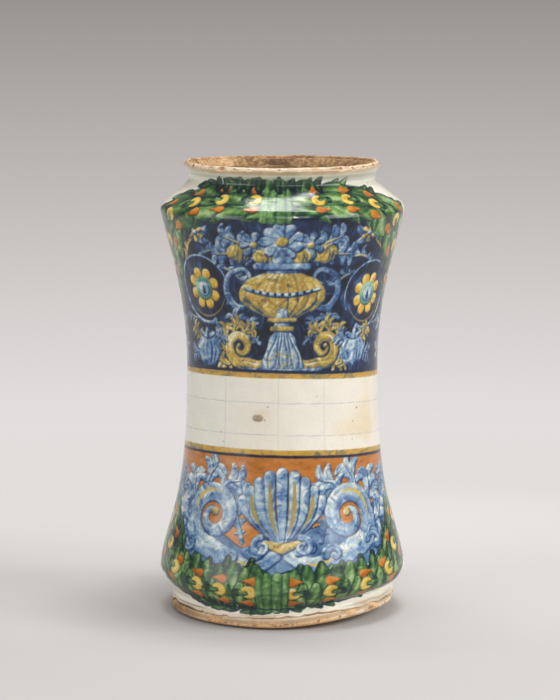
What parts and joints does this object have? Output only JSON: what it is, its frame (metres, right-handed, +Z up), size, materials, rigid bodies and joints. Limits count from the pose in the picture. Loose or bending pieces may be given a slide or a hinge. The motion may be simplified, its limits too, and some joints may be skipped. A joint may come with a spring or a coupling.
{
  "type": "waisted pharmacy jar",
  "caption": "Tall waisted earthenware storage jar with a flared worn lip, a low foot and a painted tin-glaze coat, for dry or sticky drugs, spices or flowers.",
  "frame": {"origin": "centre of the flat base that the jar stands on", "axes": "+Z up along the throwing axis; -Y towards the front, where the blank label band faces; +X to the viewer's right"},
  "size_m": [0.1418, 0.1418, 0.259],
  "materials": {
    "biscuit_clay": "bare buff earthenware, pitted and stained at the worn lip and foot",
    "painted_tin_glaze": "glossy off-white tin glaze painted in cobalt, copper green, orange and yellow",
    "lead_glaze_lining": "thin uneven brown lead glaze, crusted and stained near the mouth"
  },
  "bodies": {
    "root": {"clay_body": "biscuit_clay", "outer_glaze": "painted_tin_glaze", "inner_glaze": "lead_glaze_lining"}
  },
  "joints": []
}
